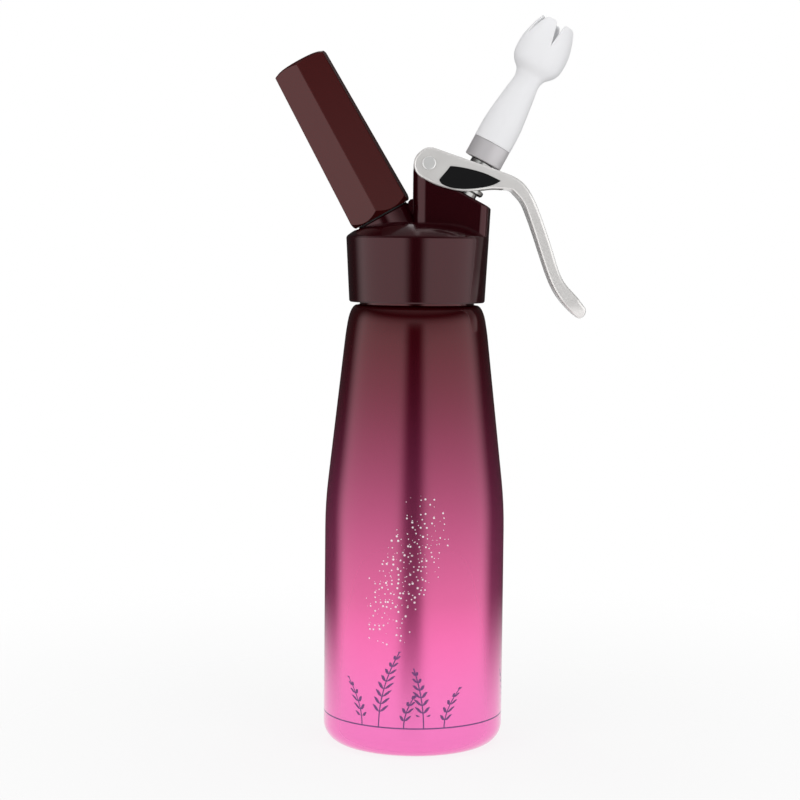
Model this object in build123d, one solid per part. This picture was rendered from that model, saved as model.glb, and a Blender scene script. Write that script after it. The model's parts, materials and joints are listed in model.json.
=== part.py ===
from build123d import *
import os
from math import cos, pi, radians, sin, tan

# Whipped cream dispenser. Millimetres, +Z up, origin at the centre of the bottle's foot.
# The charger port leans to -X, the valve and the lever lean and reach to +X.
# Both ports are drawn upright along their own Z, then tilted about a root near the bottle's axis.

# Bottle
BODY_R = 39.25
KNUCKLE_R = 8.5
FOOT_INNER_R = 26.0
DIMPLE = 5.0
WALL = 1.2
DIMPLE_MID = (0.55, 0.72)
CONE_START_Z = 105.1
CONE_BLEND = 10.7
CONE_ANGLE = 6.38
SHOULDER_Z = 176.5
NECK_R = 24.9
NECK_BORE_R = 22.4
NECK_FOOT_Z = 192.4
RIM_Z = 216.0
CONE_END_R = BODY_R - (SHOULDER_Z - CONE_START_Z) * tan(radians(CONE_ANGLE))

# Threads: pitch, turns, and the ridge's width at its root and at its crest
BIG_THREAD = (4.0, 1.75, 2.0, 1.0)
PORT_THREAD = (2.5, 2.5, 1.25, 0.6)
TIP_THREAD = (2.0, 2.0, 1.0, 0.45)
THREAD_DEPTH = 1.3
PORT_THREAD_DEPTH = 0.8
TIP_THREAD_DEPTH = 0.65
BIG_THREAD_Z = 200.0
PORT_THREAD_Z = 36.5
TIP_THREAD_Z = 61.1

# Tilt of each port and its root, the (x, z) that its distances are measured from
NOZZLE_TILT = 28.2
NOZZLE_ROOT = (-0.22, 202.12)
CHARGER_TILT = 29.27
CHARGER_ROOT = (0.64, 202.36)

# Head
COLLAR_FOOT_Z = 193.3
COLLAR_FOOT_R = 29.55
COLLAR_TOP_Z = 221.0
COLLAR_TOP_R = 31.0
COLLAR_BORE_R = 26.6
COLLAR_EDGE = 0.6
COLLAR_LEAN = (COLLAR_TOP_R - COLLAR_FOOT_R) / (COLLAR_TOP_Z - COLLAR_FOOT_Z - COLLAR_EDGE)
RIM_EDGE = ((30.8, 221.7), (30.35, 222.15))
CROWN = ((24.4, 225.8), (12.0, 227.8))
GASKET_H = 2.6
CEILING_Z = RIM_Z + GASKET_H
DOME_R = 20.5
DOME_Z = 222.0
ROOF = 43.25
ROOF_EDGE_R = 1.0
FLANGE_END = 32.3
FLANGE_R = 12.5
SPOT_FACE_R = 14.2
BLOCK_LEFT = -18.0
BLOCK_RIGHT = 13.6
BLOCK_HALF = 11.0
BLOCK_LONG = 42.0
BLOCK_FOOT_Z = 210.0
BLOCK_BACK_R = 6.0
BLOCK_CORNER_R = 3.8
BLOCK_INSET = 0.05
POST_X = -2.2
POST_R = 5.2
POST_SHOULDER = 3.6
POST_SIDE = 12.0
POST_EDGE_R = 1.5
WEB_LEFT = (-4.25, 236.65)
WEB_TOP = (-3.4, 237.7)
WEB_POST_Z = 238.0
WEB_FOOT_Z = 231.0
WEB_HALF = 5.0

# Charger port, along its own axis
PORT_NECK_R = 9.7
PORT_NECK_END = 46.0
PORT_BORE_R = 6.2
PORT_BORE_FLOOR = 35.0
PIN_HOLE_R = 3.0
PIN_HOLE_FLOOR = 27.5
GAS_BOSS_R = 6.5
GAS_BOSS_END = 20.0
NUT_HOLE_R = 3.25
NUT_HOLE_END = 26.2
GAS_BORE_R = 1.1
CHARGER_TIP = 38.2
CHARGER_R = 8.95
CHARGER_L = 65.0
CHARGER_WALL = 1.5
HOLDER_OPEN = 33.0
HOLDER_END = 107.7
HOLDER_OPEN_R = 15.4
HOLDER_END_R = 13.45
HOLDER_BORE_R = 9.35
HOLDER_THREAD_R = 10.9
HOLDER_TURN = 6.0
HOLDER_EDGE_R = 0.6

# Valve, along its own axis
VALVE_TOWER_R = 9.3
VALVE_SEAT = 18.0
SEAL_LOW = 15.0
FLOW_R = 5.8
GUIDE_LOW = 24.0
SPRING_FLOOR = 28.0
SPRING_TOP = 36.0
VALVE_BORE_R = 7.6
BUSH_FOOT = 38.0
BUSH_TOP = ROOF - 1.2
STEM_R = 5.0
STEM_BORE_R = 2.6
STEM_END = 66.5
STEM_STEP_R = 6.8
STEM_WAIST_R = 3.6
GROOVE_R = 3.9
GROOVE_LOW = 25.4
GROOVE_TOP = 27.2
NUT_BORE_R = 2.9
RUNNING = 0.05
SPRING_WIRE_R = 0.45
SPRING_COIL_R = 6.1
SPRING_TURNS = 4

# Nozzle, along the valve's axis
NOZZLE_FOOT = 59.35
NOZZLE_COLLAR_R = 8.45
NOZZLE_COLLAR_END = 68.15
NOZZLE_SPIGOT_R = 7.2
NOZZLE_SPIGOT_END = 76.0
NOZZLE_END = 126.8
NOZZLE_GASKET_H = 1.2
PETALS = 5
PETAL_TURN = -82.0
SLIT_DEPTH = 10.7
SLIT_HALF = 1.95
PETAL_CORNER = 1.2
PETAL_EDGE_R = 0.4

# Lever, in the XZ plane
PIVOT = (4.5, 253.1)
PIN_R = 1.95
PIN_HEAD_R = 2.9
PIN_HEAD_H = 0.9
SCREW_R = 1.1
CHEEK_IN = 11.3
CHEEK_OUT = 12.9
TOP_START = (6.6, 259.65)
TOP_END = (36.6, 249.5)
PLATE = 1.5
LEVER_EDGE_R = 1.0
NOSE_R = 2.0
NOSE_LOW = 47.8
WINDOW_R = 5.7
INLAY_SUNK = 0.6
INLAY_PROUD = 0.15

NOZZLE_AXIS = Pos(NOZZLE_ROOT[0], 0, NOZZLE_ROOT[1]) * Rot(0, NOZZLE_TILT, 0)
CHARGER_AXIS = Pos(CHARGER_ROOT[0], 0, CHARGER_ROOT[1]) * Rot(0, -CHARGER_TILT, 0)


def turned(*points):
    """Solid of revolution about Z from a closed half outline of (radius, height) points."""
    return revolve(make_face(Plane.XZ * Polyline(*points, close=True)), Axis.Z)


def tube(outer_r, inner_r, low, high):
    return turned((inner_r, low), (outer_r, low), (outer_r, high), (inner_r, high))


def rod(radius, low, high):
    return tube(radius, 0, low, high)


def thread(root_r, depth, low, spec):
    """Helical ridge on a wall of radius root_r; a negative depth points inwards."""
    pitch, turns, root_w, crest_w = spec
    path = Helix(pitch=pitch, height=turns * pitch, radius=root_r)
    sunk_r = root_r - (0.25 if depth > 0 else -0.25)
    crest_r = root_r + depth
    section = Plane.XZ * Polyline(
        (sunk_r, -root_w / 2), (crest_r, -crest_w / 2), (crest_r, crest_w / 2), (sunk_r, root_w / 2),
        close=True,
    )
    return Pos(0, 0, low) * sweep(make_face(section), path=path, is_frenet=True)


def on_nozzle_axis(across, along):
    """World (x, z) of a point given across and along the valve's axis."""
    c, s = cos(radians(NOZZLE_TILT)), sin(radians(NOZZLE_TILT))
    return (NOZZLE_ROOT[0] + across * c + along * s, NOZZLE_ROOT[1] - across * s + along * c)


def face_on(plane, pieces):
    """Face on a plane from lines and arcs that close on themselves."""
    return make_face([edge for piece in pieces for edge in (plane * piece).edges()])


def side_face(*pieces):
    """The same in the XZ plane, where every side view and half outline lies."""
    return face_on(Plane.XZ, pieces)


def slab(face, half):
    """A face in the XZ plane made half thick to each side of it."""
    return extrude(face, half, both=True)


def bottle():
    lean = radians(CONE_ANGLE)
    blend_low = (BODY_R, CONE_START_Z - CONE_BLEND)
    blend_high = (BODY_R - CONE_BLEND * sin(lean), CONE_START_Z + CONE_BLEND * cos(lean))
    dimple = (FOOT_INNER_R * DIMPLE_MID[0], DIMPLE * DIMPLE_MID[1])
    bend = KNUCKLE_R * (1 - cos(pi / 4))
    skin = side_face(
        ThreePointArc((0, DIMPLE), dimple, (FOOT_INNER_R, 0)),
        Line((FOOT_INNER_R, 0), (BODY_R - KNUCKLE_R, 0)),
        ThreePointArc((BODY_R - KNUCKLE_R, 0), (BODY_R - bend, bend), (BODY_R, KNUCKLE_R)),
        Line((BODY_R, KNUCKLE_R), blend_low),
        TangentArc(blend_low, blend_high, tangent=(0, 1)),
        Line(blend_high, (CONE_END_R, SHOULDER_Z)),
        Spline(
            (CONE_END_R, SHOULDER_Z), (30.3, 183.5), (28.65, 189.6), (26.3, 192.1),
            tangents=[(-sin(lean), cos(lean)), (-1, 0.3)],
        ),
        Line((26.3, 192.1), (NECK_R, NECK_FOOT_Z)),
        Line((NECK_R, NECK_FOOT_Z), (NECK_R, RIM_Z)),
        Line((NECK_R, RIM_Z), (0, RIM_Z)),
        Line((0, RIM_Z), (0, DIMPLE)),
    )
    inner_knuckle = KNUCKLE_R - WALL
    inner_r = BODY_R - WALL
    inner_bend = inner_knuckle * (1 - cos(pi / 4))
    hollow = side_face(
        ThreePointArc((0, DIMPLE + WALL), (dimple[0], dimple[1] + WALL), (FOOT_INNER_R, WALL)),
        Line((FOOT_INNER_R, WALL), (inner_r - inner_knuckle, WALL)),
        ThreePointArc(
            (inner_r - inner_knuckle, WALL), (inner_r - inner_bend, WALL + inner_bend), (inner_r, KNUCKLE_R)
        ),
        Line((inner_r, KNUCKLE_R), (inner_r, blend_low[1])),
        TangentArc((inner_r, blend_low[1]), (blend_high[0] - WALL, blend_high[1]), tangent=(0, 1)),
        Line((blend_high[0] - WALL, blend_high[1]), (CONE_END_R - WALL, SHOULDER_Z - WALL)),
        Spline(
            (CONE_END_R - WALL, SHOULDER_Z - WALL), (28.9, 182.8), (26.6, 188.0), (NECK_BORE_R, 190.4),
            tangents=[(-sin(lean), cos(lean)), (-1, 0.3)],
        ),
        Line((NECK_BORE_R, 190.4), (NECK_BORE_R, RIM_Z + 1)),
        Line((NECK_BORE_R, RIM_Z + 1), (0, RIM_Z + 1)),
        Line((0, RIM_Z + 1), (0, DIMPLE + WALL)),
    )
    body = revolve(skin, Axis.Z) - revolve(hollow, Axis.Z)
    return body + thread(NECK_R, THREAD_DEPTH, BIG_THREAD_Z, BIG_THREAD)


def block_bar():
    """Upright bar with round corners that trims the block and the post."""
    plan = RectangleRounded(BLOCK_LONG, 2 * BLOCK_HALF, BLOCK_BACK_R)
    return Pos(POST_X + BLOCK_LONG / 2, 0, BLOCK_FOOT_Z - 5) * extrude(plan, 70)


def lever_post():
    """Post between the lever's cheeks, round over the pivot, with rounded edges at front and back."""
    c, s = cos(radians(NOZZLE_TILT)), sin(radians(NOZZLE_TILT))
    px, pz = PIVOT
    low = (POST_X, pz - POST_SHOULDER)
    back = px - POST_X
    back_r = (back**2 + POST_SHOULDER**2 - POST_R**2) / (2 * (back - POST_R))
    gap = back_r - POST_R
    joint = (px - POST_R * (POST_X + back_r - px) / gap, pz + POST_R * POST_SHOULDER / gap)
    right = (px + POST_R * c, pz - POST_R * s)
    foot = (right[0] - POST_SIDE * s, right[1] - POST_SIDE * c)
    outline = side_face(
        Line((POST_X, BLOCK_FOOT_Z), low),
        TangentArc(low, joint, tangent=(0, 1)),
        ThreePointArc(joint, (px + POST_R * s, pz + POST_R * c), right),
        Line(right, foot),
        Line(foot, (foot[0], BLOCK_FOOT_Z)),
        Line((foot[0], BLOCK_FOOT_Z), (POST_X, BLOCK_FOOT_Z)),
    )
    solid = slab(outline, BLOCK_HALF)
    rims = [
        edge
        for edge in solid.edges()
        if abs(abs((edge @ 0.5).Y) - BLOCK_HALF) < 0.01 and (edge @ 0.5).Z > foot[1]
    ]
    return fillet(rims, POST_EDGE_R) & block_bar()


def head_block():
    """Block over the collar, with a roof square to the valve's axis and its right end round."""
    outline = side_face(
        Polyline(
            (POST_X, BLOCK_FOOT_Z), (POST_X, 240), (2, 240), on_nozzle_axis(BLOCK_LEFT, ROOF),
            on_nozzle_axis(BLOCK_RIGHT, ROOF), (36, BLOCK_FOOT_Z), close=True,
        )
    )
    low_r = COLLAR_TOP_R - BLOCK_INSET - COLLAR_LEAN * (COLLAR_TOP_Z - 205)
    high_r = COLLAR_TOP_R - BLOCK_INSET + COLLAR_LEAN * (262 - COLLAR_TOP_Z)
    block = slab(outline, 20) & block_bar() & turned((0, 205), (low_r, 205), (high_r, 262), (0, 262))
    corners = [edge for edge in block.edges() if edge.geom_type == GeomType.HYPERBOLA]
    block = fillet(corners, BLOCK_CORNER_R)
    s, c = sin(radians(NOZZLE_TILT)), cos(radians(NOZZLE_TILT))
    roof = block.faces().sort_by(Axis((0, 0, 0), (s, 0, c)))[-1]
    return fillet(roof.edges(), ROOF_EDGE_R)


def port_web():
    """Web in the valley between the charger port's flange and the post."""
    outline = Polyline(
        WEB_LEFT, WEB_TOP, (POST_X, WEB_POST_Z), (POST_X + 1, WEB_POST_Z), (POST_X + 1, WEB_FOOT_Z),
        (WEB_LEFT[0], WEB_FOOT_Z), close=True,
    )
    return slab(side_face(outline), WEB_HALF)


def collar():
    """Screw cap part of the head: slightly wider at its top, with a low crown round the block."""
    foot_edge = ((COLLAR_FOOT_R - 0.5, COLLAR_FOOT_Z), (COLLAR_FOOT_R, COLLAR_FOOT_Z + COLLAR_EDGE))
    return revolve(
        side_face(
            Polyline((0, COLLAR_FOOT_Z), *foot_edge, (COLLAR_TOP_R, COLLAR_TOP_Z), *RIM_EDGE),
            ThreePointArc(RIM_EDGE[1], *CROWN),
            Polyline(CROWN[1], (0, CROWN[1][1]), (0, COLLAR_FOOT_Z)),
        ),
        Axis.Z,
    )


def charger_port():
    """Flange and threaded neck that the charger holder screws onto."""
    port = turned(
        (0, 0), (10, 8), (FLANGE_R, 20), (FLANGE_R, FLANGE_END - 0.5), (FLANGE_R - 0.5, FLANGE_END),
        (PORT_NECK_R, FLANGE_END), (PORT_NECK_R, PORT_NECK_END - 0.8), (PORT_NECK_R - 0.8, PORT_NECK_END),
        (0, PORT_NECK_END),
    )
    return CHARGER_AXIS * (port + thread(PORT_NECK_R, PORT_THREAD_DEPTH, PORT_THREAD_Z, PORT_THREAD))


def valve_bore():
    """Flow chamber, stem guide and spring bore, from the seat up through the roof."""
    return NOZZLE_AXIS * turned(
        (0, VALVE_SEAT - 1), (FLOW_R, VALVE_SEAT - 1), (FLOW_R, GUIDE_LOW),
        (STEM_R + RUNNING, GUIDE_LOW + 0.75), (STEM_R + RUNNING, SPRING_FLOOR),
        (VALVE_BORE_R, SPRING_FLOOR), (VALVE_BORE_R, ROOF + 1), (0, ROOF + 1),
    )


def gas_bore():
    """Holes for the inlet nut and the piercing pin, and the bore round the charger's neck."""
    return CHARGER_AXIS * turned(
        (0, GAS_BOSS_END - 1), (NUT_HOLE_R, GAS_BOSS_END - 1), (NUT_HOLE_R, NUT_HOLE_END),
        (GAS_BORE_R, NUT_HOLE_END), (GAS_BORE_R, PIN_HOLE_FLOOR), (PIN_HOLE_R, PIN_HOLE_FLOOR),
        (PIN_HOLE_R, PORT_BORE_FLOOR), (PORT_BORE_R, PORT_BORE_FLOOR), (PORT_BORE_R, PORT_NECK_END + 1),
        (0, PORT_NECK_END + 1),
    )


def head():
    solid = collar() - CHARGER_AXIS * rod(SPOT_FACE_R, FLANGE_END, FLANGE_END + 10)
    solid += (lever_post() + head_block()) + charger_port() + port_web()
    solid -= rod(COLLAR_BORE_R, COLLAR_FOOT_Z - 20, CEILING_Z)
    solid -= rod(DOME_R, CEILING_Z - 1, DOME_Z)
    under = rod(DOME_R, CEILING_Z - 20, DOME_Z + 0.5)
    solid += (NOZZLE_AXIS * rod(VALVE_TOWER_R, VALVE_SEAT, SPRING_FLOOR)) & under
    solid += (CHARGER_AXIS * rod(GAS_BOSS_R, GAS_BOSS_END, NUT_HOLE_END)) & under
    solid -= valve_bore()
    solid -= gas_bore()
    solid -= Pos(PIVOT[0], 0, PIVOT[1]) * Rot(90, 0, 0) * Cylinder(PIN_R + RUNNING, 40)
    return solid + thread(COLLAR_BORE_R, -THREAD_DEPTH, BIG_THREAD_Z - BIG_THREAD[0] / 2, BIG_THREAD)


def head_gasket():
    return tube(COLLAR_BORE_R - 0.4, NECK_BORE_R, RIM_Z, CEILING_Z)


def valve_bush():
    bush = tube(VALVE_BORE_R, STEM_R + RUNNING, BUSH_FOOT, BUSH_TOP)
    slots = Pos(0, 0, BUSH_TOP) * Box(20, 1.4, 1.6)
    return NOZZLE_AXIS * (bush - slots)


def valve_stem():
    stem = turned(
        (0, 12.6), (NUT_BORE_R, 12.6), (NUT_BORE_R, SEAL_LOW), (STEM_WAIST_R, SEAL_LOW),
        (STEM_WAIST_R, GUIDE_LOW - 1), (STEM_R, GUIDE_LOW + 0.75),
        (STEM_R, GROOVE_LOW), (GROOVE_R, GROOVE_LOW), (GROOVE_R, GROOVE_TOP), (STEM_R, GROOVE_TOP),
        (STEM_R, SPRING_TOP),
        (STEM_STEP_R, SPRING_TOP), (STEM_STEP_R, BUSH_FOOT - 0.3), (STEM_R, BUSH_FOOT - 0.3),
        (STEM_R, STEM_END - 7.6), (STEM_R - TIP_THREAD_DEPTH, STEM_END - 7.2),
        (STEM_R - TIP_THREAD_DEPTH, STEM_END), (0, STEM_END),
    )
    stem -= rod(STEM_BORE_R, 20, STEM_END + 1)
    for turn in (0, 90):
        stem -= Pos(0, 0, 21.5) * Rot(0, 0, turn) * Rot(0, 90, 0) * Cylinder(1.4, 12)
    stem += thread(STEM_R - TIP_THREAD_DEPTH, TIP_THREAD_DEPTH, TIP_THREAD_Z, TIP_THREAD)
    return NOZZLE_AXIS * stem


def stem_o_ring():
    ring = revolve(Plane.XZ * Pos(GROOVE_R + 0.57, (GROOVE_LOW + GROOVE_TOP) / 2) * Circle(0.55), Axis.Z)
    return NOZZLE_AXIS * ring


def piston_seal():
    return NOZZLE_AXIS * turned(
        (STEM_WAIST_R, SEAL_LOW), (6.6, SEAL_LOW), (7.0, SEAL_LOW + 0.4), (7.0, VALVE_SEAT - 0.4),
        (6.6, VALVE_SEAT), (STEM_WAIST_R, VALVE_SEAT),
    )


def seal_nut():
    hexagon = extrude(Pos(0, 0, SEAL_LOW - 2) * RegularPolygon(4.8, 6), 2)
    return NOZZLE_AXIS * (hexagon - rod(NUT_BORE_R, SEAL_LOW - 3, SEAL_LOW + 1))


def valve_spring():
    length = SPRING_TOP - SPRING_FLOOR - 2 * SPRING_WIRE_R
    path = Helix(pitch=length / SPRING_TURNS, height=length, radius=SPRING_COIL_R)
    wire = sweep(Plane.XZ * Pos(SPRING_COIL_R, 0) * Circle(SPRING_WIRE_R), path=path, is_frenet=True)
    return NOZZLE_AXIS * Pos(0, 0, SPRING_FLOOR + SPRING_WIRE_R) * wire


def press_collar():
    return NOZZLE_AXIS * turned(
        (STEM_R, 45.1), (6.4, 45.1), (7.1, 45.8), (7.1, 47.0), (6.6, 47.5), (STEM_R, 47.5)
    )


def lever_outline():
    """Side view of the lever: round end at the pivot, straight top, curved handle."""
    px, pz = PIVOT
    return side_face(
        Line(TOP_START, TOP_END),
        Spline(
            TOP_END, (44.4, 245.5), (49.4, 238.7), (53.75, 228.8), (58.9, 214.0), (63.4, 202.8),
            (67.35, 198.2), (69.75, 195.6), (72.2, 192.4), tangents=[(0.942, -0.335), (0.65, -0.76)],
        ),
        ThreePointArc((72.2, 192.4), (72.7, 188.8), (70.2, 187.0)),
        Spline(
            (70.2, 187.0), (64.9, 191.6), (60.5, 197.1), (55.55, 207.7), (49.7, 224.8), (46.7, 232.9),
            (44.1, 237.9), (41.4, 240.8), (37.4, 242.4), tangents=[(-0.85, 0.55), (-1, 0.05)],
        ),
        Spline(
            (37.4, 242.4), (33.5, 242.6), (28.4, 242.1), (20.0, 241.2), (9.7, 243.2), (2.4, 246.4),
            tangents=[(-1, 0.05), (-0.86, 0.5)],
        ),
        ThreePointArc((2.4, 246.4), (px - 6.55, pz - 0.2), (0.2, 257.6)),
        Spline((0.2, 257.6), (3.1, 259.55), TOP_START, tangents=[(0.7, 0.7), (0.945, -0.33)]),
    )


def lever_channel():
    """Room between the cheeks, open below and behind, under the top plate."""
    fall = (TOP_START[1] - TOP_END[1]) / (TOP_END[0] - TOP_START[0])
    under = PLATE * (1 + fall**2) ** 0.5
    back = (TOP_START[0] - 2.2, TOP_START[1] - under + 2.2 * fall)
    front = (TOP_END[0] - 0.6, TOP_END[1] - under + 0.6 * fall)
    return side_face(Polyline(back, front, (37.6, 236), (-8, 236), (-8, 266), (back[0], 266), close=True))


def inlay_outline():
    """Lens shape of the black inlay in each cheek."""
    return side_face(
        Spline(
            (13.5, 251.9), (18.5, 251.4), (23.4, 250.4), (29.8, 248.4), (35.2, 245.8),
            tangents=[(1, 0), (1, -0.5)],
        ),
        Spline(
            (35.2, 245.8), (31.5, 243.9), (25.9, 242.7), (19.6, 242.2), (14.6, 242.6), (11.5, 243.5),
            (9.6, 244.7), (8.9, 246.0),
        ),
        Spline((8.9, 246.0), (10.4, 248.0), (12.3, 250.2), (13.5, 251.9)),
    )


def lever_width():
    """Outline of the lever seen from the handle's side, across Y, to trim the handle's width."""
    right = [(CHEEK_OUT, 264), (CHEEK_OUT, 241), (11.6, 234), (9.6, 222), (9.0, 212)]
    right += [(9.4, 202), (10.2, 195)]
    half = Spline(*right[1:], tangents=[(0, -1), (0.1, -1)])
    tip = ThreePointArc(right[-1], (7.8, 188.4), (0, 184.5))
    pieces = [Line(right[0], right[1]), half, tip, Line((0, 184.5), (0, 264)), Line((0, 264), right[0])]
    face = face_on(Plane.YZ, pieces)
    return face + mirror(face, Plane.XZ)


def lever():
    solid = slab(lever_outline(), CHEEK_OUT) & extrude(lever_width(), 120, both=True)
    solid = fillet(solid.edges(), LEVER_EDGE_R)
    solid -= slab(lever_channel(), CHEEK_IN)
    nose = Pos(0, 0, NOSE_LOW + NOSE_R) * Rot(90, 0, 0) * Cylinder(NOSE_R, 2 * CHEEK_IN)
    web = nose + Pos(0, 0, NOSE_LOW + NOSE_R + 4) * Box(2 * NOSE_R, 2 * CHEEK_IN, 8)
    web -= Pos(0, 0, NOSE_LOW) * Box(8, 2 * (WINDOW_R - 0.1), 30)
    solid += (NOZZLE_AXIS * web) & slab(lever_outline(), CHEEK_IN)
    window = Box(2.4, 2 * WINDOW_R, 12)
    for end in (-1.2, 1.2):
        window += Pos(end, 0, 0) * Cylinder(WINDOW_R, 12)
    solid -= NOZZLE_AXIS * Pos(-0.3, 0, 57) * window
    solid -= Pos(PIVOT[0], 0, PIVOT[1]) * Rot(90, 0, 0) * Cylinder(PIN_R, 40)
    for side in (-1, 1):
        solid -= Pos(0, side * (CHEEK_OUT - INLAY_SUNK), 0) * extrude(inlay_outline(), 3, dir=(0, side, 0))
    return solid


def lever_inlay(side):
    floor = Pos(0, side * (CHEEK_OUT - INLAY_SUNK), 0)
    return floor * extrude(inlay_outline(), INLAY_SUNK + INLAY_PROUD, dir=(0, side, 0))


def pin_head(side):
    """Round head with a rounded rim, standing on the cheek."""
    middle = side * (CHEEK_OUT + PIN_HEAD_H / 2)
    head_disc = Pos(0, middle, 0) * Rot(90, 0, 0) * Cylinder(PIN_HEAD_R, PIN_HEAD_H)
    rim = head_disc.edges().sort_by(Axis.Y)[-1 if side > 0 else 0]
    return fillet(rim, PIN_HEAD_H / 2)


def pivot_pin():
    shank = Rot(90, 0, 0) * Cylinder(PIN_R, 2 * CHEEK_OUT)
    socket = Pos(0, CHEEK_OUT - 3, 0) * Rot(90, 0, 0) * Cylinder(SCREW_R, 6.1)
    return Pos(PIVOT[0], 0, PIVOT[1]) * (shank + pin_head(-1) - socket)


def pivot_screw():
    shank = Pos(0, CHEEK_OUT - 2.5, 0) * Rot(90, 0, 0) * Cylinder(SCREW_R - 0.02, 5)
    slot = Pos(0, CHEEK_OUT + PIN_HEAD_H, 0) * Box(3 * PIN_HEAD_R, 0.9, 0.7)
    return Pos(PIVOT[0], 0, PIVOT[1]) * (pin_head(1) + shank - slot)


def nozzle_gasket():
    return NOZZLE_AXIS * tube(4.3, STEM_BORE_R + 0.2, STEM_END, STEM_END + NOZZLE_GASKET_H)


def nozzle_collar():
    seat = STEM_END + NOZZLE_GASKET_H
    thread_r = STEM_R + 0.3
    collar = turned(
        (thread_r, NOZZLE_FOOT), (NOZZLE_COLLAR_R - 0.3, NOZZLE_FOOT), (NOZZLE_COLLAR_R, NOZZLE_FOOT + 0.3),
        (NOZZLE_COLLAR_R, NOZZLE_COLLAR_END - 0.3), (NOZZLE_COLLAR_R - 0.3, NOZZLE_COLLAR_END),
        (NOZZLE_SPIGOT_R, NOZZLE_COLLAR_END), (NOZZLE_SPIGOT_R, NOZZLE_SPIGOT_END),
        (5.6, NOZZLE_SPIGOT_END), (3.4, 73.0), (3.4, seat), (thread_r, seat),
    )
    inner_thread = thread(thread_r, -TIP_THREAD_DEPTH, TIP_THREAD_Z - TIP_THREAD[0] / 2, TIP_THREAD)
    return NOZZLE_AXIS * (collar + inner_thread)


def nozzle_tip():
    """Tapered spout that opens into a tulip, slit into petals with round corners."""
    outer = [(8.6, NOZZLE_COLLAR_END), (8.55, 73.5), (8.38, 78.0), (7.75, 84.0), (7.24, 88.0), (6.1, 96.0)]
    outer += [(5.85, 98.8), (6.9, 102.0), (8.83, 104.0), (10.32, 106.0), (11.37, 112.0), (11.07, 116.0)]
    outer += [(10.17, 120.0), (7.7, NOZZLE_END)]
    inner = [(6.5, NOZZLE_END), (8.7, 120.5), (9.75, 116.0), (10.0, 112.0), (9.0, 107.0), (7.5, 104.6)]
    inner += [(5.3, 102.3), (4.5, 99.5), (4.75, 96.5), (5.9, 88.0), (6.6, 82.0), (7.0, 78.0)]
    skin = side_face(
        Line(outer[0], outer[1]),
        Spline(*outer[1:], tangents=[(-0.05, 5.35), (-1.2, 2.8)]),
        Line(outer[-1], inner[0]),
        Spline(*inner, tangents=[(1.1, -2.8), (0.4, -4.0)]),
        Polyline(
            inner[-1], (NOZZLE_SPIGOT_R, NOZZLE_SPIGOT_END), (NOZZLE_SPIGOT_R, NOZZLE_COLLAR_END), outer[0]
        ),
    )
    tip = revolve(skin, Axis.Z)
    root = (0, NOZZLE_END - SLIT_DEPTH)
    side = (SLIT_HALF * (1 - PETAL_CORNER / SLIT_DEPTH), NOZZLE_END - PETAL_CORNER)
    rim = (side[0] + PETAL_CORNER, NOZZLE_END + 0.05)
    over = (rim[0], NOZZLE_END + 2)
    half_slit = face_on(
        Plane.YZ,
        [
            Line(root, side), TangentArc(side, rim, tangent=(SLIT_HALF, SLIT_DEPTH)), Line(rim, over),
            Line(over, (0, over[1])), Line((0, over[1]), root),
        ],
    )
    slit = half_slit + mirror(half_slit, Plane.XZ)
    for k in range(PETALS):
        tip -= Rot(0, 0, 360 / PETALS * k + PETAL_TURN) * Pos(9, 0, 0) * extrude(slit, 6, both=True)
    petal_edges = [edge for edge in tip.edges() if (edge @ 0.5).Z > NOZZLE_END - SLIT_DEPTH + 0.5]
    return NOZZLE_AXIS * fillet(petal_edges, PETAL_EDGE_R)


def charger_holder():
    low = Pos(0, 0, HOLDER_OPEN) * Rot(0, 0, -90 - HOLDER_TURN) * RegularPolygon(HOLDER_OPEN_R, 6)
    high = Pos(0, 0, HOLDER_END) * Rot(0, 0, -90 - HOLDER_TURN) * RegularPolygon(HOLDER_END_R, 6)
    barrel = loft([low, high])
    barrel = fillet([edge for edge in barrel.edges() if edge.length > HOLDER_END_R * 2], HOLDER_EDGE_R)
    barrel &= turned(
        (0, HOLDER_OPEN), (13.0, HOLDER_OPEN), (16.0, HOLDER_OPEN + 3.3), (16.0, HOLDER_END - 3.2),
        (14.4, HOLDER_END - 2.3), (12.0, HOLDER_END - 1.0), (10.2, HOLDER_END - 0.25), (9.2, HOLDER_END),
        (0, HOLDER_END),
    )
    bore_end = CHARGER_TIP + CHARGER_L + 0.3
    barrel -= turned(
        (0, HOLDER_OPEN - 1), (HOLDER_THREAD_R, HOLDER_OPEN - 1), (HOLDER_THREAD_R, PORT_NECK_END + 0.4),
        (HOLDER_BORE_R, PORT_NECK_END + 2), (HOLDER_BORE_R, bore_end - 6.0), (7.4, bore_end - 2.0),
        (3.6, bore_end), (0, bore_end),
    )
    low_thread = PORT_THREAD_Z - PORT_THREAD[0] / 2
    barrel += thread(HOLDER_THREAD_R, -PORT_THREAD_DEPTH, low_thread, PORT_THREAD)
    return CHARGER_AXIS * barrel


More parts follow.
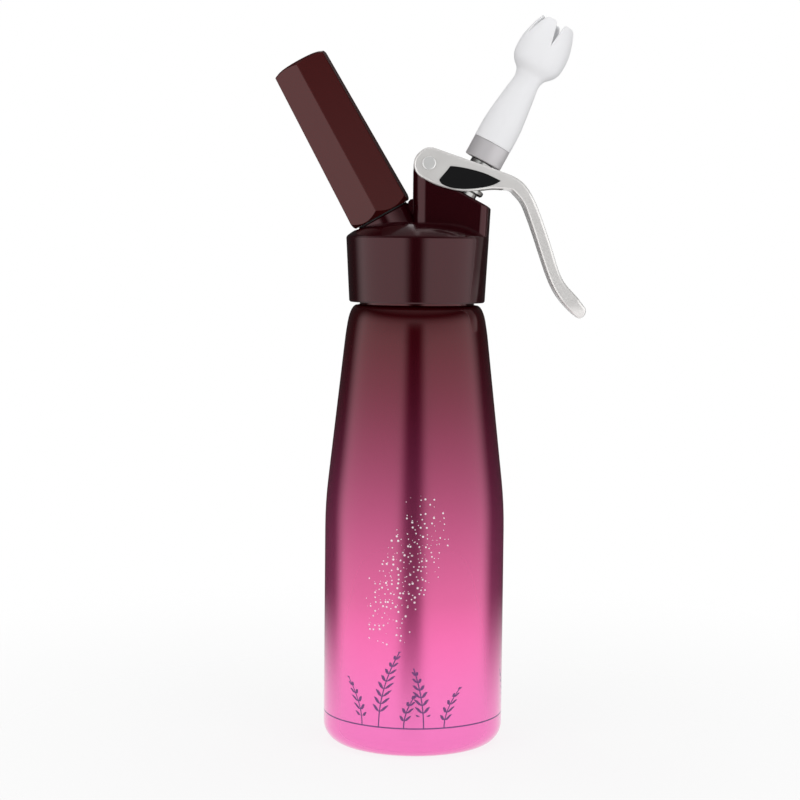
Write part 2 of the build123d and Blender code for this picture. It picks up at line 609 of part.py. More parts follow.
def charger():
    """Gas cartridge with a round end, a drawn-in neck and the hole that the pin has opened."""
    end = CHARGER_TIP + CHARGER_L
    inner_r = CHARGER_R - CHARGER_WALL
    slant = cos(pi / 4)
    shoulder = ((4.2, CHARGER_TIP + 8), (CHARGER_R, CHARGER_TIP + 19))
    inner_shoulder = ((inner_r, CHARGER_TIP + 20.5), (2.7, CHARGER_TIP + 9.5))
    shell = side_face(
        Polyline((1.6, CHARGER_TIP), (3.7, CHARGER_TIP), (4.2, CHARGER_TIP + 0.6), shoulder[0]),
        Spline(*shoulder, tangents=[(0, 1), (0, 1)]),
        Line(shoulder[1], (CHARGER_R, end - CHARGER_R)),
        ThreePointArc(
            (CHARGER_R, end - CHARGER_R), (CHARGER_R * slant, end - CHARGER_R * (1 - slant)), (0, end)
        ),
        Line((0, end), (0, end - CHARGER_WALL)),
        ThreePointArc(
            (0, end - CHARGER_WALL), (inner_r * slant, end - CHARGER_R + inner_r * slant),
            (inner_r, end - CHARGER_R),
        ),
        Line((inner_r, end - CHARGER_R), inner_shoulder[0]),
        Spline(*inner_shoulder, tangents=[(0, -1), (0, -1)]),
        Polyline(inner_shoulder[1], (2.7, CHARGER_TIP + 1), (1.6, CHARGER_TIP + 1), (1.6, CHARGER_TIP)),
    )
    return CHARGER_AXIS * revolve(shell, Axis.Z)


def piercing_pin():
    pin = turned(
        (0, 28.0), (PIN_HOLE_R, 28.0), (PIN_HOLE_R, PORT_BORE_FLOOR), (4.4, PORT_BORE_FLOOR), (4.4, 36.3),
        (2.3, 36.3), (2.3, 37.6), (1.15, 38.0), (1.15, 39.6), (0.3, 41.2), (0, 41.2),
    )
    return CHARGER_AXIS * (pin - rod(0.5, 27, 40) - Pos(0, 0, 39.4) * Rot(90, 0, 0) * Cylinder(0.35, 4))


def pin_seal():
    return CHARGER_AXIS * tube(6.1, 2.4, 36.3, CHARGER_TIP)


def port_ring():
    return CHARGER_AXIS * tube(11.7, PORT_NECK_R, FLANGE_END, HOLDER_OPEN - 0.1)


def gas_inlet_nut():
    nut = turned(
        (0, 15.0), (4.6, 15.0), (5.0, 15.4), (5.0, 16.2), (3.8, 16.2), (3.8, GAS_BOSS_END),
        (NUT_HOLE_R, GAS_BOSS_END), (NUT_HOLE_R, NUT_HOLE_END - 0.2), (0, NUT_HOLE_END - 0.2),
    )
    nut -= rod(GAS_BORE_R, 17, NUT_HOLE_END + 1)
    return CHARGER_AXIS * (nut - Pos(0, 0, 18) * Rot(0, 90, 0) * Cylinder(0.7, 12))


def check_valve_sleeve():
    return CHARGER_AXIS * tube(4.9, 3.8, 16.3, GAS_BOSS_END - 0.1)


PIECES = {
    "bottle": bottle,
    "head": head,
    "head_gasket": head_gasket,
    "valve_bush": valve_bush,
    "valve_stem": valve_stem,
    "stem_o_ring": stem_o_ring,
    "piston_seal": piston_seal,
    "seal_nut": seal_nut,
    "valve_spring": valve_spring,
    "press_collar": press_collar,
    "lever": lever,
    "lever_inlay_front": lambda: lever_inlay(-1),
    "lever_inlay_back": lambda: lever_inlay(1),
    "pivot_pin": pivot_pin,
    "pivot_screw": pivot_screw,
    "nozzle_gasket": nozzle_gasket,
    "nozzle_collar": nozzle_collar,
    "nozzle_tip": nozzle_tip,
    "charger_holder": charger_holder,
    "charger": charger,
    "piercing_pin": piercing_pin,
    "pin_seal": pin_seal,
    "port_ring": port_ring,
    "gas_inlet_nut": gas_inlet_nut,
    "check_valve_sleeve": check_valve_sleeve,
}


def main():
    os.makedirs("parts", exist_ok=True)
    for name, make in PIECES.items():
        export_step(make(), f"parts/{name}.step")


if __name__ == "__main__":
    main()
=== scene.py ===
import json
from math import cos, pi, radians, sin

import bpy
from mathutils import Matrix, Vector

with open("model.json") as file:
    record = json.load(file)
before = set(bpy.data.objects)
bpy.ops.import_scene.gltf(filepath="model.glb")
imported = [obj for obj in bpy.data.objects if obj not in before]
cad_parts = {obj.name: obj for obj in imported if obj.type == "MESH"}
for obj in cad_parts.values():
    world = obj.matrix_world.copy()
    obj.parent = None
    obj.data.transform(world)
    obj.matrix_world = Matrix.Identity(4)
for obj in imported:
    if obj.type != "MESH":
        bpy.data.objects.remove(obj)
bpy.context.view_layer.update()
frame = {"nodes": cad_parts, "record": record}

MM = 0.001

# The bottle's radius and the height where its neck starts, in mm.
BOTTLE_R = 39.25
BOTTLE_TOP = 192.0

# The two lathe lines of the turned parts: a point in mm near the bottle's axis, and the direction.
NOZZLE_TILT = radians(28.2)
NOZZLE_LINE = ((-0.22, 0.0, 202.12), (sin(NOZZLE_TILT), 0.0, cos(NOZZLE_TILT)))
CHARGER_TILT = radians(29.27)
CHARGER_LINE = ((0.64, 0.0, 202.36), (-sin(CHARGER_TILT), 0.0, cos(CHARGER_TILT)))


def linear(colour):
    """An sRGB hex colour as linear red, green, blue and alpha."""
    parts = [int(colour[i:i + 2], 16) / 255 for i in (1, 3, 5)]
    return [c / 12.92 if c <= 0.04045 else ((c + 0.055) / 1.055) ** 2.4 for c in parts] + [1.0]


def add(tree, kind, inputs=None, **settings):
    """One node. An input is a number, a colour, a socket, or a node whose first output is meant."""
    node = tree.nodes.new(kind)
    for name, value in settings.items():
        setattr(node, name, value)
    for name, value in (inputs or {}).items():
        if isinstance(value, bpy.types.Node):
            value = value.outputs[0]
        if isinstance(value, bpy.types.NodeSocket):
            tree.links.new(value, node.inputs[name])
        else:
            node.inputs[name].default_value = value
    return node


def new_material(name):
    """An empty material, its node tree, and the place on the piece in mm as a vector node."""
    material = bpy.data.materials.new(name)
    material.use_nodes = True
    tree = material.node_tree
    tree.nodes.clear()
    place = add(tree, "ShaderNodeTexCoord")
    mm = add(tree, "ShaderNodeVectorMath", {0: place.outputs["Object"], "Scale": 1 / MM}, operation="SCALE")
    return material, tree, mm


# ---------------------------------------------------------------- print on the bottle

# All in mm: across is round the bottle from the front, up is from the foot. It comes three times round.
PRINT_PERIOD = 2 * pi * BOTTLE_R / 3
PRINT_MIDDLE = -4.0
GROUND_Z = 13.7
GROUND_HALF = 0.3
INK = "#3d3570"
INK_COVER = 0.85

# Each sprig's place across, its height, the reach of its leaves, and its lean: the stem's slope at LEAN_AT.
SPRIGS = [
    (-19.0, 20.0, 2.9, -0.12),
    (-11.0, 33.0, 3.7, 0.05),
    (0.0, 15.0, 2.6, 0.14),
    (8.5, 26.0, 3.3, -0.04),
    (17.5, 17.0, 2.8, 0.16),
]
LEAN_AT = 3.0
STEM_HALF = 0.28
LEAF_PITCH = 3.3
LEAF_HALF = 0.8
LEAF_SLOPE = 0.85
# As shares of a sprig's height: where its leaves start and where they start to get shorter. Then the
# length of the leaves at its tip, as a share of the longest.
LEAVES_FROM = 0.2
TAPER_FROM = 0.6
TIP_LEAF = 0.3

# The drift of dots: its middle, half height, half width and sway, and the height for a radian of the sway.
# The density is the share of places that hold a dot, so above 1 the middle is full. The dots' radii are
# shares of their pitch.
DRIFT_MIDDLE_Z = 80.0
DRIFT_HALF_HEIGHT = 34.0
DRIFT_HALF_WIDTH = 15.0
DRIFT_SWAY = 8.0
DRIFT_WAVE = 15.0
DRIFT_DENSITY = 1.1
DOT_PITCH = 2.0
DOT_RADII = (0.05, 0.24)
DOT_WHITE = "#ffffff"
DOT_COVER = 0.8


def print_across(tree, xyz):
    """How far round the bottle a point lies from the middle of the nearest print."""
    front = add(tree, "ShaderNodeMath", {0: xyz.outputs["Y"], 1: -1.0}, operation="MULTIPLY")
    bearing = add(tree, "ShaderNodeMath", {0: xyz.outputs["X"], 1: front}, operation="ARCTAN2")
    arc = add(tree, "ShaderNodeMath", {0: bearing, 1: BOTTLE_R, 2: -PRINT_MIDDLE}, operation="MULTIPLY_ADD")
    half = PRINT_PERIOD / 2
    return add(tree, "ShaderNodeMath", {0: arc, 1: half, 2: -half}, operation="WRAP")


def sprig_print(tree, across, rise, place, height, reach, lean):
    """A leafy twig: a thin bowed stem with pairs of blunt leaves that point upwards, shortest at its tip."""
    far = add(tree, "ShaderNodeMath", {0: rise, 1: rise}, operation="MULTIPLY")
    bend = add(tree, "ShaderNodeMath", {0: far, 1: lean / (2 * LEAN_AT), 2: place}, operation="MULTIPLY_ADD")
    off_stem = add(tree, "ShaderNodeMath", {0: across, 1: bend}, operation="SUBTRACT")
    side = add(tree, "ShaderNodeMath", {0: off_stem}, operation="ABSOLUTE")
    leaf_end = add(tree, "ShaderNodeMapRange", {
        "Value": rise, "From Min": height * TAPER_FROM, "From Max": height,
        "To Min": reach, "To Max": reach * TIP_LEAF})
    share = add(tree, "ShaderNodeMath", {0: side, 1: leaf_end}, operation="DIVIDE")
    bow = add(tree, "ShaderNodeMath", {0: share, 1: pi}, operation="MULTIPLY")
    width = add(tree, "ShaderNodeMath", {0: bow}, operation="SINE")
    row = add(tree, "ShaderNodeMath", {0: side, 1: -LEAF_SLOPE, 2: rise}, operation="MULTIPLY_ADD")
    from_row = add(tree, "ShaderNodeMath", {0: row, 1: LEAF_PITCH / 2}, operation="PINGPONG")
    half_leaf = add(tree, "ShaderNodeMath", {0: width, 1: LEAF_HALF}, operation="MULTIPLY")
    leaf = add(tree, "ShaderNodeMath", {0: from_row, 1: half_leaf}, operation="LESS_THAN")
    on_leaf = add(tree, "ShaderNodeMath", {0: share, 1: 1.0}, operation="LESS_THAN")
    above_foot = add(tree, "ShaderNodeMath", {0: rise, 1: height * LEAVES_FROM}, operation="GREATER_THAN")
    leaves = add(tree, "ShaderNodeMath", {0: leaf, 1: on_leaf}, operation="MULTIPLY")
    leaves = add(tree, "ShaderNodeMath", {0: leaves, 1: above_foot}, operation="MULTIPLY")
    stem = add(tree, "ShaderNodeMath", {0: side, 1: STEM_HALF}, operation="LESS_THAN")
    drawn = add(tree, "ShaderNodeMath", {0: leaves, 1: stem}, operation="MAXIMUM")
    below_top = add(tree, "ShaderNodeMath", {0: rise, 1: height}, operation="LESS_THAN")
    above_ground = add(tree, "ShaderNodeMath", {0: rise, 1: 0.0}, operation="GREATER_THAN")
    drawn = add(tree, "ShaderNodeMath", {0: drawn, 1: below_top}, operation="MULTIPLY")
    return add(tree, "ShaderNodeMath", {0: drawn, 1: above_ground}, operation="MULTIPLY")


def ink_print(tree, across, height):
    """The line of the ground and the sprigs that stand on it: 1 where there is ink."""
    rise = add(tree, "ShaderNodeMath", {0: height, 1: GROUND_Z}, operation="SUBTRACT")
    from_ground = add(tree, "ShaderNodeMath", {0: rise}, operation="ABSOLUTE")
    ink = add(tree, "ShaderNodeMath", {0: from_ground, 1: GROUND_HALF}, operation="LESS_THAN")
    for place, tall, reach, lean in SPRIGS:
        sprig = sprig_print(tree, across, rise, place, tall, reach, lean)
        ink = add(tree, "ShaderNodeMath", {0: ink, 1: sprig}, operation="MAXIMUM")
    return ink


def dot_print(tree, across, height):
    """Small white dots in a drift that winds upwards and thins out at its edges: 1 on a dot."""
    spot = add(tree, "ShaderNodeCombineXYZ", {"X": across, "Y": height})
    cells = add(tree, "ShaderNodeTexVoronoi", {
        "Vector": spot, "Scale": 1 / DOT_PITCH}, voronoi_dimensions="2D")
    chance = add(tree, "ShaderNodeSeparateColor", {"Color": cells.outputs["Color"]})
    rise = add(tree, "ShaderNodeMath", {0: height, 1: DRIFT_MIDDLE_Z}, operation="SUBTRACT")
    swing = add(tree, "ShaderNodeMath", {0: rise, 1: 1 / DRIFT_WAVE}, operation="MULTIPLY")
    sway = add(tree, "ShaderNodeMath", {0: swing}, operation="SINE")
    middle = add(tree, "ShaderNodeMath", {0: sway, 1: DRIFT_SWAY}, operation="MULTIPLY")
    off_middle = add(tree, "ShaderNodeMath", {0: across, 1: middle}, operation="SUBTRACT")
    wide = add(tree, "ShaderNodeMath", {0: off_middle, 1: DRIFT_HALF_WIDTH}, operation="DIVIDE")
    tall = add(tree, "ShaderNodeMath", {0: rise, 1: DRIFT_HALF_HEIGHT}, operation="DIVIDE")
    wide_squared = add(tree, "ShaderNodeMath", {0: wide, 1: wide}, operation="MULTIPLY")
    from_middle = add(tree, "ShaderNodeMath", {0: tall, 1: tall, 2: wide_squared}, operation="MULTIPLY_ADD")
    density = add(tree, "ShaderNodeMath", {0: DRIFT_DENSITY, 1: from_middle}, operation="SUBTRACT")
    kept = add(tree, "ShaderNodeMath", {0: chance.outputs["Red"], 1: density}, operation="LESS_THAN")
    smallest, largest = DOT_RADII
    size = add(tree, "ShaderNodeMapRange", {
        "Value": chance.outputs["Green"], "To Min": smallest, "To Max": largest})
    dot = add(tree, "ShaderNodeMath", {0: cells.outputs["Distance"], 1: size}, operation="LESS_THAN")
    return add(tree, "ShaderNodeMath", {0: dot, 1: kept}, operation="MULTIPLY")


# ---------------------------------------------------------------- lacquers

# The bottle's colour at heights in mm, from the foot to the neck.
GRADIENT = [
    (0.0, "#ff7ecb"),
    (27.0, "#ff7cc4"),
    (49.0, "#f869b0"),
    (67.0, "#dd5d97"),
    (102.0, "#af4472"),
    (137.0, "#7f2544"),
    (168.0, "#5c0a1c"),
    (192.0, "#480308"),
]
# Pattern sizes in mm. The orange peel is true to size. Real flake is far finer than this, which is drawn as
# coarse as it has to be to soften the mirror.
BOTTLE_PEEL = 2.5
CASTING_PEEL = 1.8
FLAKE = 0.35


def gradient_colour(tree, height):
    """The spray shop's fade from pink at the foot to maroon at the neck."""
    share = add(tree, "ShaderNodeMath", {0: height, 1: BOTTLE_TOP}, operation="DIVIDE")
    ramp = add(tree, "ShaderNodeValToRGB", {"Fac": share})
    ramp.color_ramp.interpolation = "B_SPLINE"
    stops = ramp.color_ramp.elements
    while len(stops) < len(GRADIENT):
        stops.new(0.5)
    for stop, (z, colour) in zip(stops, GRADIENT):
        stop.position = z / BOTTLE_TOP
        stop.color = linear(colour)
    return ramp


def lacquered_bottle():
    """Candy lacquer over spun aluminium, then the print: a soft coloured mirror under a clear coat.

    The clear coat has a slight orange peel, and the lacquer a fine flake. The print itself is no mirror.
    """
    material, tree, mm = new_material("candy_lacquer_on_aluminium")
    xyz = add(tree, "ShaderNodeSeparateXYZ", {0: mm})
    height = xyz.outputs["Z"]
    across = print_across(tree, xyz)
    colour = gradient_colour(tree, height)
    ink = ink_print(tree, across, height)
    dots = dot_print(tree, across, height)
    ink_share = add(tree, "ShaderNodeMath", {0: ink, 1: INK_COVER}, operation="MULTIPLY")
    dot_share = add(tree, "ShaderNodeMath", {0: dots, 1: DOT_COVER}, operation="MULTIPLY")
    inked = add(tree, "ShaderNodeMixRGB", {"Fac": ink_share, "Color1": colour, "Color2": linear(INK)})
    printed = add(tree, "ShaderNodeMixRGB", {"Fac": dot_share, "Color1": inked, "Color2": linear(DOT_WHITE)})
    print_share = add(tree, "ShaderNodeMath", {0: ink_share, 1: dot_share}, operation="MAXIMUM")
    metal = add(tree, "ShaderNodeMapRange", {"Value": print_share, "To Min": 0.72, "To Max": 0.0})
    peel = add(tree, "ShaderNodeTexNoise", {"Vector": mm, "Scale": 1 / BOTTLE_PEEL, "Detail": 2.0})
    coat_bump = add(tree, "ShaderNodeBump", {"Strength": 0.04, "Distance": 0.02 * MM, "Height": peel})
    flake = add(tree, "ShaderNodeTexNoise", {"Vector": mm, "Scale": 1 / FLAKE, "Detail": 1.0})
    rough = add(tree, "ShaderNodeMapRange", {"Value": flake, "To Min": 0.17, "To Max": 0.25})
    shader = add(tree, "ShaderNodeBsdfPrincipled", {
        "Base Color": printed, "Metallic": metal, "Roughness": rough, "Specular IOR Level": 0.0,
        "Coat Weight": 0.8, "Coat Roughness": 0.09, "Coat Normal": coat_bump})
    add(tree, "ShaderNodeOutputMaterial", {"Surface": shader})
    return material


def lacquered_casting(name, colour, roughness, metallic):
    """Sprayed lacquer on aluminium: satin, with a faint orange peel and a thin white gloss on top."""
    material, tree, mm = new_material(name)
    peel = add(tree, "ShaderNodeTexNoise", {"Vector": mm, "Scale": 1 / CASTING_PEEL, "Detail": 3.0})
    bump = add(tree, "ShaderNodeBump", {"Strength": 0.06, "Distance": 0.03 * MM, "Height": peel})
    rough = add(tree, "ShaderNodeMapRange", {
        "Value": peel, "To Min": roughness - 0.04, "To Max": roughness + 0.04})
    shader = add(tree, "ShaderNodeBsdfPrincipled", {
        "Base Color": linear(colour), "Metallic": metallic, "Roughness": rough, "Normal": bump,
        "Specular IOR Level": 0.0, "Coat Weight": 0.8, "Coat Roughness": 0.12})
    add(tree, "ShaderNodeOutputMaterial", {"Surface": shader})
    return material


# ---------------------------------------------------------------- metals

# Cloudy patches left by the buffing wheel, in mm.
BUFFING = 6.0


def plated_chrome(name, colour, roughness, metallic):
    """Chrome plate buffed to a bright satin: a hazy mirror over an even pale grey."""
    material, tree, mm = new_material(name)
    haze = add(tree, "ShaderNodeTexNoise", {"Vector": mm, "Scale": 1 / BUFFING, "Detail": 4.0})
    rough = add(tree, "ShaderNodeMapRange", {
        "Value": haze, "To Min": roughness * 0.7, "To Max": roughness * 1.3})
    shader = add(tree, "ShaderNodeBsdfPrincipled", {
        "Base Color": linear(colour), "Metallic": metallic, "Roughness": rough})
    add(tree, "ShaderNodeOutputMaterial", {"Surface": shader})
    return material


def turned_metal(name, colour, roughness, line, groove, metallic=1.0):
    """Metal turned on a lathe: fine grooves round the axis draw the light out into bands along it.

    Tool marks are finer than the groove in mm given here, which is as coarse as it has to be to show.
    """
    material, tree, mm = new_material(name)
    foot, axis = line
    from_foot = add(tree, "ShaderNodeVectorMath", {0: mm, 1: foot}, operation="SUBTRACT")
    along = add(tree, "ShaderNodeVectorMath", {0: from_foot, 1: axis}, operation="DOT_PRODUCT")
    round_axis = add(tree, "ShaderNodeVectorMath", {0: axis, 1: from_foot}, operation="CROSS_PRODUCT")
    radius = add(tree, "ShaderNodeVectorMath", {0: round_axis}, operation="LENGTH")
    tangent = add(tree, "ShaderNodeVectorMath", {0: round_axis}, operation="NORMALIZE")
    feed = add(tree, "ShaderNodeMath", {
        0: along.outputs["Value"], 1: radius.outputs["Value"]}, operation="ADD")
    turns = add(tree, "ShaderNodeCombineXYZ", {"X": feed})
    grooves = add(tree, "ShaderNodeTexNoise", {
        "Vector": turns, "Scale": 1 / groove, "Detail": 3.0, "Roughness": 0.7})
    bump = add(tree, "ShaderNodeBump", {"Strength": 0.35, "Distance": 0.02 * MM, "Height": grooves})
    rough = add(tree, "ShaderNodeMapRange", {
        "Value": grooves, "To Min": roughness - 0.06, "To Max": roughness + 0.06})
    shader = add(tree, "ShaderNodeBsdfPrincipled", {
        "Base Color": linear(colour), "Metallic": metallic, "Roughness": rough,
        "Anisotropic": 0.6, "Tangent": tangent, "Normal": bump})
    add(tree, "ShaderNodeOutputMaterial", {"Surface": shader})
    return material


# ---------------------------------------------------------------- plastics and rubbers

# The fine grain of the nozzle's mould, in mm.
NOZZLE_GRAIN = 0.5


def milky_plastic():
    """Polypropylene, moulded: milky, lets a little light through, with a faint mould texture."""
    material, tree, mm = new_material("moulded_polypropylene")
    mould = add(tree, "ShaderNodeTexNoise", {"Vector": mm, "Scale": 1 / NOZZLE_GRAIN, "Detail": 2.0})
    bump = add(tree, "ShaderNodeBump", {"Strength": 0.08, "Distance": 0.02 * MM, "Height": mould})
    rough = add(tree, "ShaderNodeMapRange", {"Value": mould, "To Min": 0.36, "To Max": 0.46})
    shader = add(tree, "ShaderNodeBsdfPrincipled", {
        "Base Color": linear("#eeeef0"), "Roughness": rough, "Normal": bump,
        "Subsurface Weight": 0.35, "Subsurface Radius": (1.0, 1.0, 1.0), "Subsurface Scale": 1.5 * MM})
    add(tree, "ShaderNodeOutputMaterial", {"Surface": shader})
    return material


def moulded(name, colour, roughness, grain, depth, shine=0.5):
    """A moulded plastic, rubber or silicone: even and dull. The grain of its mould and its depth are in mm."""
    material, tree, mm = new_material(name)
    mould = add(tree, "ShaderNodeTexNoise", {"Vector": mm, "Scale": 1 / grain, "Detail": 2.0})
    bump = add(tree, "ShaderNodeBump", {"Strength": 0.2, "Distance": depth * MM, "Height": mould})
    rough = add(tree, "ShaderNodeMapRange", {
        "Value": mould, "To Min": roughness - 0.05, "To Max": roughness + 0.05})
    shader = add(tree, "ShaderNodeBsdfPrincipled", {
        "Base Color": linear(colour), "Roughness": rough, "Normal": bump, "Specular IOR Level": shine})
    add(tree, "ShaderNodeOutputMaterial", {"Surface": shader})
    return material


# ---------------------------------------------------------------- finishes of the pieces

FINISHES = {
    "gradient_lacquer": lacquered_bottle(),
    "brown_lacquer": lacquered_casting("satin_lacquer_on_cast_aluminium", "#3c0711", 0.24, metallic=0.7),
    "holder_lacquer": lacquered_casting("satin_lacquer_on_turned_aluminium", "#4a1212", 0.30, metallic=0.45),
    "lever_chrome": plated_chrome("chrome_plated_zinc_casting", "#f4f2f0", 0.24, metallic=0.42),
    "pin_chrome": plated_chrome("chrome_plated_steel", "#f4f4f3", 0.14, metallic=0.4),
    "stainless": turned_metal("turned_stainless_steel", "#c8c8c6", 0.25, NOZZLE_LINE, 0.3),
    "brushed_collar": turned_metal("turned_aluminium", "#cfccce", 0.46, NOZZLE_LINE, 0.35, metallic=0.5),
    "charger_steel": turned_metal("drawn_zinc_plated_steel", "#c6c6c2", 0.32, CHARGER_LINE, 0.8),
    "brass": turned_metal("turned_brass", "#d6b266", 0.22, CHARGER_LINE, 0.3),
    "frosted_white_plastic": milky_plastic(),
    "black_plastic": moulded("moulded_abs", "#09090b", 0.5, 0.4, 0.02, shine=0.2),
    "black_rubber": moulded("moulded_nitrile_rubber", "#151516", 0.6, 0.6, 0.03),
    "white_silicone": moulded("moulded_silicone", "#d8d8d2", 0.45, 0.8, 0.02),
}

for part in frame["record"]["subparts"]:
    node = frame["nodes"][part["node"]]
    node.data.materials.clear()
    node.data.materials.append(FINISHES[part["material_slot"]])

# ---------------------------------------------------------------- floor

# In metres: the floor's radius, and where it starts and ends its fade. Then how white the camera and
# the mirrors see it, and the corners of its rim.
FLOOR_R = 0.45
FLOOR_FADE = 0.05
FLOOR_END = 0.95 * FLOOR_R
FLOOR_LIFT = 0.85
FLOOR_CORNERS = 96


def studio_floor():
    """A pale table top. It fades into the white backdrop, and keeps the soft shadow under the bottle."""
    mesh = bpy.data.meshes.new("studio_floor")
    bearings = [2 * pi * i / FLOOR_CORNERS for i in range(FLOOR_CORNERS)]
    rim = [(FLOOR_R * cos(b), FLOOR_R * sin(b), 0.0) for b in bearings]
    mesh.from_pydata(rim, [], [list(range(FLOOR_CORNERS))])
    floor = bpy.data.objects.new("studio_floor", mesh)
    bpy.context.scene.collection.objects.link(floor)
    material, tree, mm = new_material("painted_table")
    reach = add(tree, "ShaderNodeVectorMath", {0: mm}, operation="LENGTH")
    fade = add(tree, "ShaderNodeMapRange", {
        "Value": reach.outputs["Value"], "From Min": FLOOR_FADE / MM, "From Max": FLOOR_END / MM},
        interpolation_type="SMOOTHSTEP")
    path = add(tree, "ShaderNodeLightPath")
    paint = add(tree, "ShaderNodeBsdfDiffuse", {"Color": linear("#f4f4f4")})
    white = add(tree, "ShaderNodeEmission", {"Color": (1.0, 1.0, 1.0, 1.0)})
    seen = add(tree, "ShaderNodeMath", {
        0: path.outputs["Is Camera Ray"], 1: path.outputs["Is Glossy Ray"]}, operation="MAXIMUM")
    lift = add(tree, "ShaderNodeMath", {0: seen, 1: FLOOR_LIFT}, operation="MULTIPLY")
    lit = add(tree, "ShaderNodeMixShader", {0: lift, 1: paint, 2: white})
    clear = add(tree, "ShaderNodeBsdfTransparent")
    mixed = add(tree, "ShaderNodeMixShader", {0: fade, 1: lit, 2: clear})
    add(tree, "ShaderNodeOutputMaterial", {"Surface": mixed})
    mesh.materials.append(material)


# ---------------------------------------------------------------- room

# Bearings in degrees from the camera side, positive to the right: where the bright screen starts and ends,
# and the half width of its soft edges. Then the same of the dark gap in it.
SCREEN = (-111.0, 106.0, 14.0)
GAP = (-16.5, 10.5, 8.0)
# Heights in degrees above the horizon, between which the screen and the gap fade out, and between which
# the light from overhead fades in.
SCREEN_TOP = (8.0, 36.0)
GAP_TOP = (15.0, 25.0)
OVERHEAD = (34.0, 60.0)
# The white backdrop is straight behind the object.
BACKDROP_FROM = 177.0
BACKDROP_EDGE = 3.0
SCREEN_LIGHT = 1.15
OVERHEAD_LIGHT = 0.3
ROOM_LIGHT = 0.03


def upright_panel(tree, bearing, low, high, edge):
    """A panel between two bearings: 1 on it and 0 beside it, with soft edges."""
    rise = add(tree, "ShaderNodeMapRange", {
        "Value": bearing, "From Min": low - edge, "From Max": low + edge}, interpolation_type="SMOOTHSTEP")
    fall = add(tree, "ShaderNodeMapRange", {
        "Value": bearing, "From Min": high - edge, "From Max": high + edge, "To Min": 1.0, "To Max": 0.0},
        interpolation_type="SMOOTHSTEP")
    return add(tree, "ShaderNodeMath", {0: rise, 1: fall}, operation="MULTIPLY")


def fade_with_height(tree, up, heights, below, above):
    """A light that changes from one strength to another between two heights in the room."""
    low, high = heights
    return add(tree, "ShaderNodeMapRange", {
        "Value": up, "From Min": sin(radians(low)), "From Max": sin(radians(high)),
        "To Min": below, "To Max": above}, interpolation_type="SMOOTHSTEP")


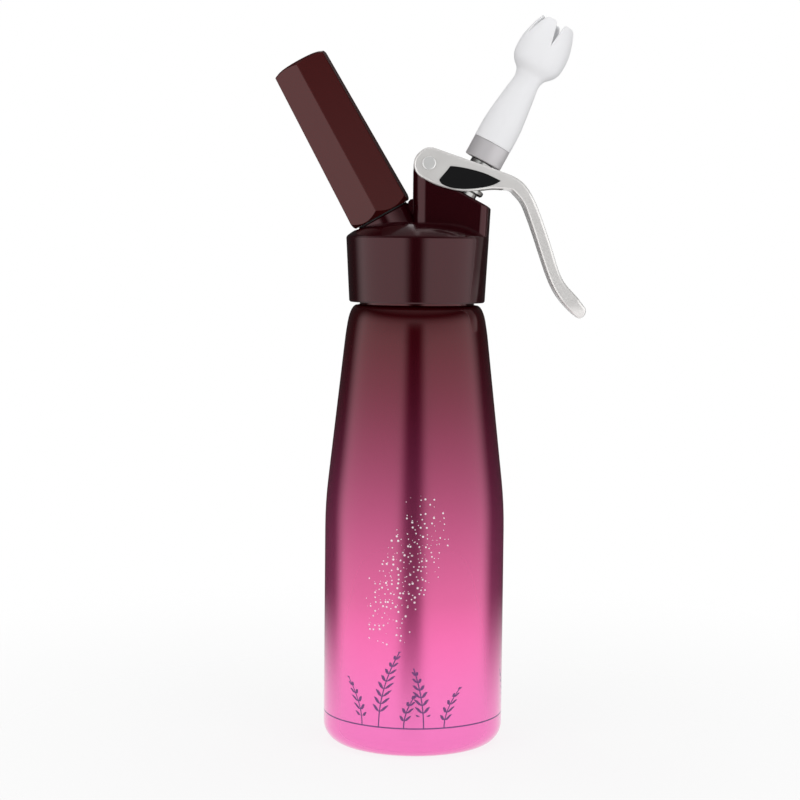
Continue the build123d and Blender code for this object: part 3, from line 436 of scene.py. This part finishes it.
def studio_room():
    """A broad bright screen with a dark gap at the camera, black flags at the sides and a white backdrop."""
    world = bpy.data.worlds.new("studio_room")
    bpy.context.scene.world = world
    world.use_nodes = True
    tree = world.node_tree
    tree.nodes.clear()
    place = add(tree, "ShaderNodeTexCoord")
    xyz = add(tree, "ShaderNodeSeparateXYZ", {0: place.outputs["Generated"]})
    up = xyz.outputs["Z"]
    front = add(tree, "ShaderNodeMath", {0: xyz.outputs["Y"], 1: -1.0}, operation="MULTIPLY")
    turn = add(tree, "ShaderNodeMath", {0: xyz.outputs["X"], 1: front}, operation="ARCTAN2")
    bearing = add(tree, "ShaderNodeMath", {0: turn, 1: 180 / pi}, operation="MULTIPLY")
    screen = upright_panel(tree, bearing, *SCREEN)
    gap = upright_panel(tree, bearing, *GAP)
    gap_height = fade_with_height(tree, up, GAP_TOP, 1.0, 0.0)
    dark = add(tree, "ShaderNodeMath", {0: gap, 1: gap_height}, operation="MULTIPLY")
    beside_gap = add(tree, "ShaderNodeMath", {0: 1.0, 1: dark}, operation="SUBTRACT")
    lit_screen = add(tree, "ShaderNodeMath", {0: screen, 1: beside_gap}, operation="MULTIPLY")
    screen_height = fade_with_height(tree, up, SCREEN_TOP, SCREEN_LIGHT, 0.0)
    screen_light = add(tree, "ShaderNodeMath", {0: lit_screen, 1: screen_height}, operation="MULTIPLY")
    overhead = fade_with_height(tree, up, OVERHEAD, ROOM_LIGHT, OVERHEAD_LIGHT)
    side = add(tree, "ShaderNodeMath", {0: bearing}, operation="ABSOLUTE")
    behind = add(tree, "ShaderNodeMapRange", {
        "Value": side, "From Min": BACKDROP_FROM - BACKDROP_EDGE, "From Max": BACKDROP_FROM + BACKDROP_EDGE},
        interpolation_type="SMOOTHSTEP")
    round_room = add(tree, "ShaderNodeMath", {0: screen_light, 1: overhead}, operation="ADD")
    whole_room = add(tree, "ShaderNodeMath", {0: round_room, 1: behind}, operation="ADD")
    path = add(tree, "ShaderNodeLightPath")
    seen = add(tree, "ShaderNodeMath", {
        0: path.outputs["Is Camera Ray"], 1: path.outputs["Is Transmission Ray"]}, operation="MAXIMUM")
    mirrored = add(tree, "ShaderNodeMath", {
        0: path.outputs["Is Glossy Ray"], 1: behind}, operation="MULTIPLY")
    white = add(tree, "ShaderNodeMath", {0: seen, 1: mirrored}, operation="MAXIMUM")
    strength = add(tree, "ShaderNodeMix", {"Factor": white, "A": whole_room, "B": 1.0})
    room = add(tree, "ShaderNodeBackground", {"Color": (1.0, 1.0, 1.0, 1.0), "Strength": strength})
    add(tree, "ShaderNodeOutputWorld", {"Surface": room})


# ---------------------------------------------------------------- lamps and camera

# Softboxes that light the object evenly from above and from all sides: name, place in metres and watts.
SOFTBOXES = [
    ("top_softbox", (0.0, -0.1, 1.2), 4.5),
    ("front_left_softbox", (-0.8, -1.0, 0.6), 3.0),
    ("front_right_softbox", (0.8, -1.0, 0.6), 3.0),
    ("back_left_softbox", (-0.9, 0.9, 0.6), 2.6),
    ("back_right_softbox", (0.9, 0.9, 0.6), 2.6),
]
SOFTBOX_SIDE = 0.9
SOFTBOX_AIM = (0.0, 0.0, 0.16)

CAMERA_PLACE = (-0.0067, -0.873, 0.219)
CAMERA_TURN = radians(0.0143)
CAMERA_TIP = radians(4.4957)
CAMERA_ROLL = 0.01035


def softbox(name, place, power):
    """A square soft lamp aimed at the middle of the object. The mirrors see the room instead of it."""
    lamp = bpy.data.lights.new(name, "AREA")
    lamp.shape = "SQUARE"
    lamp.size = SOFTBOX_SIDE
    lamp.energy = power
    stand = bpy.data.objects.new(name, lamp)
    stand.location = place
    stand.rotation_euler = (Vector(SOFTBOX_AIM) - Vector(place)).to_track_quat("-Z", "Y").to_euler()
    stand.visible_glossy = False
    bpy.context.scene.collection.objects.link(stand)


def camera():
    """A long lens at the height of the head, tipped down a little."""
    lens = bpy.data.cameras.new("camera")
    lens.lens = 90.0
    lens.sensor_width = 36.0
    stand = bpy.data.objects.new("camera", lens)
    turn = Matrix.Rotation(CAMERA_TURN, 4, "Z")
    pitch = Matrix.Rotation(pi / 2 - CAMERA_TIP, 4, "X")
    roll = Matrix.Rotation(CAMERA_ROLL, 4, "Z")
    stand.matrix_world = Matrix.Translation(CAMERA_PLACE) @ turn @ pitch @ roll
    bpy.context.scene.collection.objects.link(stand)
    bpy.context.scene.camera = stand


studio_floor()
studio_room()
for name, place, power in SOFTBOXES:
    softbox(name, place, power)
camera()
bpy.context.scene.view_settings.view_transform = "Standard"
